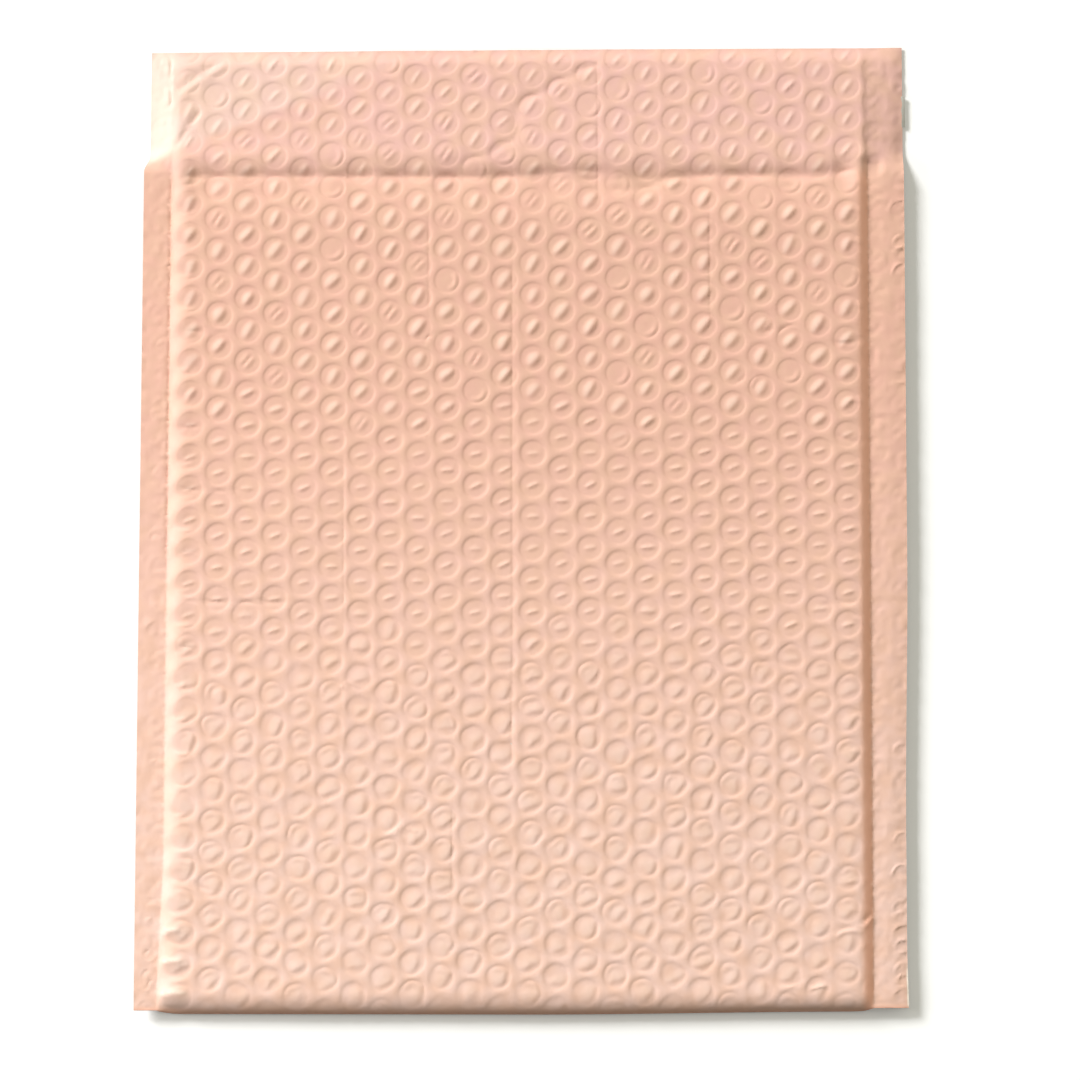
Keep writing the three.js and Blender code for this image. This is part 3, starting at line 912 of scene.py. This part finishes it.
def hot_melt(colours):
    """Hot-melt adhesive laid as a ribbon: pale, tacky and glossy, with drawn ripples."""
    material, tree = new_material("Hot-melt adhesive, pale")
    place = add_node(tree, "ShaderNodeTexCoord").outputs["Object"]
    drawn = add_node(tree, "ShaderNodeMapping", {
        "Vector": place, "Scale": (1 / (9 * MM), 1 / (1.2 * MM), 1 / (9 * MM)),
    })
    ripple = add_node(
        tree, "ShaderNodeTexNoise", {"Vector": drawn.outputs["Vector"], "Scale": 1.0, "Detail": 3.0}
    )
    tint = add_node(tree, "ShaderNodeMix", {
        0: ripple.outputs["Fac"], 6: (*colours.adhesive, 1), 7: shade(colours.adhesive, 0.88),
    }, data_type="RGBA")
    bump = add_node(tree, "ShaderNodeBump", {
        "Height": ripple.outputs["Fac"], "Strength": 0.6, "Distance": 0.1 * MM,
    })
    glue = add_node(tree, "ShaderNodeBsdfPrincipled", {
        "Base Color": tint.outputs[2], "Roughness": 0.28,
        "Normal": bump.outputs["Normal"], "IOR": 1.5,
    })
    add_node(tree, "ShaderNodeOutputMaterial", {"Surface": glue.outputs["BSDF"]})
    return material


def siliconed_strip(colours):
    """White film with a silicone coat: smooth, with a wide soft gloss and a faint fibre in it."""
    material, tree = new_material("Silicone-coated release film, white")
    place = add_node(tree, "ShaderNodeTexCoord").outputs["Object"]
    fibre = add_node(
        tree, "ShaderNodeTexNoise", {"Vector": place, "Scale": 1 / (0.9 * MM), "Detail": 5.0}
    )
    tint = add_node(tree, "ShaderNodeMix", {
        0: fibre.outputs["Fac"], 6: (*colours.liner, 1), 7: shade(colours.liner, 0.95),
    }, data_type="RGBA")
    gloss = add_node(tree, "ShaderNodeMapRange", {0: fibre.outputs["Fac"], 3: 0.26, 4: 0.4})
    strip = add_node(tree, "ShaderNodeBsdfPrincipled", {
        "Base Color": tint.outputs[2], "Roughness": gloss.outputs["Result"], "IOR": 1.45,
    })
    add_node(tree, "ShaderNodeOutputMaterial", {"Surface": strip.outputs["BSDF"]})
    return material


# Segments round a cell and the radii of its rings in millimetres, for each kind of sheet.
FINE_CELLS = (24, (0.6, 1.2, 1.8, 2.4, 3.0, 3.5, 3.85, 4.2, 4.55, 5.0))
COARSE_CELLS = (18, (1.5, 2.7, 3.5, 4.4, 5.0))
DOME_CELLS = (12, (2.6, 3.4, 4.3, 5.0))
FOLD_OVERLAP = 0.3
HEM_START = 0.2
PINCH_EDGE = 0.45
SEAM_EDGE = 0.8


class MAILER_OT_back_film(bpy.types.Operator):
    """Build the outer film of the back panel, the seals and the flap"""

    bl_idname = "mailer.back_film"
    bl_label = "Back Panel and Flap"

    def execute(self, context):
        m, c = layout(context.scene)
        ends = (m.nose - FOLD_OVERLAP, m.edge)
        cuts = [m.left_seam, m.left_seam + SEAM_EDGE, m.right_seam - SEAM_EDGE, m.right_seam]
        cuts += [m.right - CUT_EDGE, m.right - CUT_EDGE + CUT_BLEND]
        for *_, points in PINCHES:
            middle = sum(x for x, _ in points) / len(points)
            cuts += [middle - PINCH_EDGE, middle, middle + PINCH_EDGE]
        web = film_web(c, *FINE_CELLS, (m.left, m.right), ends, cuts)
        hem(web, m.nose + HEM_START)
        material = polyethylene_film(context.scene.mailer_colours)
        # Painted highlights and painted warm light in shade, as attributes for the film material.
        marks = {
            "painted_highlight": lambda flat: painted_highlights(m, c, flat),
            "glow": lambda flat: film_painted_glow(m, flat),
        }
        film = finish_piece(
            "outer_film_back", web, material, lambda flat: back_film_shape(m, c, flat),
            facing=1, marks=marks,
        )
        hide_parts("mailer")
        return {"FINISHED"}


class MAILER_OT_front_film(bpy.types.Operator):
    """Build the outer film of the front panel and the underside of the seals"""

    bl_idname = "mailer.front_film"
    bl_label = "Front Panel"

    def execute(self, context):
        m, c = layout(context.scene)
        ends = (m.nose - FOLD_OVERLAP, m.mouth)
        seams = (m.left_seam, m.right_seam)
        web = film_web(c, *COARSE_CELLS, (m.left, m.right), ends, seams)
        material = polyethylene_film(context.scene.mailer_colours)
        film = finish_piece(
            "outer_film_front", web, material, lambda flat: front_film_shape(m, c, flat), facing=-1
        )
        return {"FINISHED"}


class MAILER_OT_lining(bpy.types.Operator):
    """Build the air-cell film inside both walls and under the flap"""

    bl_idname = "mailer.lining"
    bl_label = "Air-cell Lining"

    def execute(self, context):
        m, c = layout(context.scene)
        material = air_cell_film(context.scene.mailer_colours)
        seams, start = (m.left_seam, m.right_seam), m.panel_start + 1
        web = film_web(c, *DOME_CELLS, (m.left, m.right), (start, m.edge), seams)
        back = finish_piece(
            "air_cell_lining_back", web, material,
            lambda flat: back_lining_shape(m, c, flat), facing=-1,
        )
        web = film_web(c, *DOME_CELLS, seams, (start, m.mouth))
        front = finish_piece(
            "air_cell_lining_front", web, material,
            lambda flat: front_lining_shape(m, c, flat), facing=1,
        )
        return {"FINISHED"}


STRIP_STEPS = 60
STRIP_FLOOR = 0.2


def long_edges(piece):
    """The edges of a strip that run along it."""
    return [edge for edge in piece.edges if abs(edge.verts[0].co.x - edge.verts[1].co.x) > 1]


def strip_of(low, high, round_off):
    """A thin strip between two corners, in short lengths and with rounded long edges."""
    piece = bmesh.new()
    bmesh.ops.create_cube(piece, size=1)
    bmesh.ops.scale(piece, vec=(high - low) / MM, verts=piece.verts)
    bmesh.ops.translate(piece, vec=(high + low) / 2 / MM, verts=piece.verts)
    bmesh.ops.bevel(
        piece, geom=long_edges(piece), offset=round_off, offset_type="OFFSET", segments=2,
        profile=0.5, affect="EDGES", material=-1,
    )
    bmesh.ops.subdivide_edges(piece, edges=long_edges(piece), cuts=STRIP_STEPS, use_grid_fill=True)
    return piece


def strip_shape(m, low, high, below, ripple, flat):
    """A strip that follows the slope of the flap and lies clear below its film."""
    x, y, z = flat.T
    middle, centre = (low.z + high.z) / 2 / MM, (low.y + high.y) / 2 / MM
    slope = m.seal_bottom / m.flap
    laid = middle - slope * (y - centre) + ripple * np.sin(x / 9.0) * np.cos(y / 5.0)
    near = [flap_film(m, np.clip(x + step, m.left, m.right), y) for step in (-4, -2, 0, 2, 4)]
    under = np.minimum.reduce(near) - below - 0.4 * ease(92, 104, np.abs(x))
    end = 0.8 * ease(m.right - 0.4, high.x / MM, x)
    height = np.maximum(np.minimum(laid, under), STRIP_FLOOR) + end + z - middle
    return np.stack([np.maximum(x, m.left + 2.2), y, height], 1)


class MAILER_OT_closure(bpy.types.Operator):
    """Build the adhesive band under the flap and the release strip that covers it"""

    bl_idname = "mailer.closure"
    bl_label = "Adhesive and Release Strip"

    def execute(self, context):
        m, _ = layout(context.scene)
        adhesive, liner = (ADHESIVE_LOW, ADHESIVE_HIGH), (LINER_LOW, LINER_HIGH)
        for name, node, (low, high), thick, below, ripple, material, slot in (
            ("adhesive_band", "adhesive_strip", adhesive, 0.3, 0.6, 0.02, hot_melt, "adhesive"),
            ("release_strip", "release_liner", liner, 0.2, 0.9, 0.03, siliconed_strip, "liner"),
        ):
            middle, half = (low.z + high.z) / 2, thick / 2 * MM
            flat_low = Vector((low.x, low.y, middle - half))
            flat_high = Vector((high.x, high.y, middle + half))
            piece = strip_of(flat_low, flat_high, thick * 0.35)
            strip = finish_piece(
                name, piece, material(context.scene.mailer_colours),
                lambda flat: strip_shape(m, low, high, below, ripple, flat),
            )
            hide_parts(node)
        return {"FINISHED"}


def seen_directly(tree):
    """A share that is 1 for what the camera, a gloss or a clear film sees, and 0 otherwise."""
    rays = add_node(tree, "ShaderNodeLightPath").outputs
    seen = rays["Is Camera Ray"]
    for ray in ("Is Glossy Ray", "Is Transmission Ray"):
        seen = add_node(
            tree, "ShaderNodeMath", {0: seen, 1: rays[ray]}, operation="MAXIMUM"
        ).outputs[0]
    return seen


WHITE = (*linear("#FFFFFF"), 1)
# Lengths of the stage in metres. The table lies a little below the mailer, so that no faces meet.
TABLE_REACH = 3
TABLE_DROP = 0.1 * MM
KEY_DISTANCE = 2
# Where the room is brightest.
BRIGHT_SIDE = (0.62, 0.62, 0.48)


class MAILER_OT_stage(bpy.types.Operator):
    """Set up the white table, the light from the left and the camera above"""

    bl_idname = "mailer.stage"
    bl_label = "Table, Light and Camera"

    def execute(self, context):
        scene = context.scene
        stage, colours = scene.mailer_stage, scene.mailer_colours
        scene.view_settings.view_transform = "Standard"

        table = bmesh.new()
        bmesh.ops.create_grid(table, x_segments=1, y_segments=1, size=TABLE_REACH)
        bmesh.ops.translate(table, vec=(0, 0, -TABLE_DROP), verts=table.verts)
        mesh = bpy.data.meshes.new("table")
        table.to_mesh(mesh)
        table.free()
        floor = put("table", mesh)
        material, tree = new_material("Matt white table")
        matt = add_node(tree, "ShaderNodeBsdfDiffuse", {"Color": (*colours.table, 1)})
        glow = add_node(tree, "ShaderNodeEmission", {"Color": WHITE, "Strength": stage.table_glow})
        bright = add_node(tree, "ShaderNodeAddShader", {0: matt.outputs[0], 1: glow.outputs[0]})
        dull = add_node(tree, "ShaderNodeBsdfDiffuse", {"Color": (*colours.table_bounce, 1)})
        both = add_node(tree, "ShaderNodeMixShader", {
            0: seen_directly(tree), 1: dull.outputs[0], 2: bright.outputs[0],
        })
        add_node(tree, "ShaderNodeOutputMaterial", {"Surface": both.outputs[0]})
        mesh.materials.append(material)

        world = bpy.data.worlds.new("Soft room")
        world.use_nodes = True
        tree = world.node_tree
        tree.nodes.clear()
        sky = add_node(tree, "ShaderNodeTexCoord").outputs["Generated"]
        side = add_node(
            tree, "ShaderNodeVectorMath", {0: sky, 1: BRIGHT_SIDE}, operation="DOT_PRODUCT"
        )
        level = add_node(tree, "ShaderNodeMapRange", {
            0: side.outputs["Value"], 1: -0.25, 2: 1.0, 3: 0.0, 4: 3.0 * stage.fill,
        })
        room = add_node(tree, "ShaderNodeBackground", {
            "Color": (*stage.fill_colour, 1), "Strength": level.outputs["Result"],
        })
        white = add_node(tree, "ShaderNodeBackground", {"Color": WHITE, "Strength": 1.0})
        both = add_node(tree, "ShaderNodeMixShader", {
            0: seen_directly(tree), 1: room.outputs[0], 2: white.outputs[0],
        })
        add_node(tree, "ShaderNodeOutputWorld", {"Surface": both.outputs[0]})
        scene.world = world

        sun = bpy.data.lights.new("key", "SUN")
        sun.energy = stage.key_strength
        sun.angle = stage.key_softness
        lamp = put("key", sun)
        turn = Euler((0, -stage.key_height, stage.key_azimuth))
        lamp.location = turn.to_matrix() @ Vector((KEY_DISTANCE, 0, 0))
        lamp.rotation_euler = lamp.location.to_track_quat("Z", "Y").to_euler()

        panel = bpy.data.lights.new("side", "AREA")
        panel.energy = stage.side_power
        panel.size = stage.side_size
        lamp = put("side", panel)
        lamp.location = stage.side_place
        lamp.rotation_euler = lamp.location.to_track_quat("Z", "Y").to_euler()

        lens = bpy.data.cameras.new("camera")
        lens.sensor_fit = "HORIZONTAL"
        lens.angle = stage.view_angle
        camera = put("camera", lens)
        turn = Euler((stage.tilt, 0, stage.roll))
        camera.rotation_euler = turn
        camera.location = Vector(stage.target) + turn.to_matrix() @ Vector((0, 0, stage.distance))
        scene.camera = camera
        return {"FINISHED"}


class MAILER_PT_panel(bpy.types.Panel):
    """Sizes, colours and pieces of the mailer"""

    bl_label = "Poly Mailer"
    bl_idname = "MAILER_PT_panel"
    bl_space_type = "VIEW_3D"
    bl_region_type = "UI"
    bl_category = "Mailer"

    def draw(self, context):
        for group in (getattr(context.scene, name) for name in GROUPS):
            box = self.layout.box()
            for name in group.__annotations__:
                box.prop(group, name)
        for step in STEPS:
            self.layout.operator(step.bl_idname)


GROUPS = {
    "mailer_sizes": MailerSizes,
    "mailer_cells": CellSizes,
    "mailer_colours": MailerColours,
    "mailer_stage": StageSettings,
}
STEPS = (
    MAILER_OT_back_film, MAILER_OT_front_film, MAILER_OT_lining, MAILER_OT_closure, MAILER_OT_stage,
)


def register():
    for made in (*GROUPS.values(), *STEPS, MAILER_PT_panel):
        bpy.utils.register_class(made)
    for name, group in GROUPS.items():
        setattr(bpy.types.Scene, name, PointerProperty(type=group))


def unregister():
    for name in GROUPS:
        delattr(bpy.types.Scene, name)
    for made in reversed((*GROUPS.values(), *STEPS, MAILER_PT_panel)):
        bpy.utils.unregister_class(made)


def main():
    register()
    bpy.ops.mailer.back_film()
    bpy.ops.mailer.front_film()
    bpy.ops.mailer.lining()
    bpy.ops.mailer.closure()
    bpy.ops.mailer.stage()


if __name__ == "__main__":
    main()
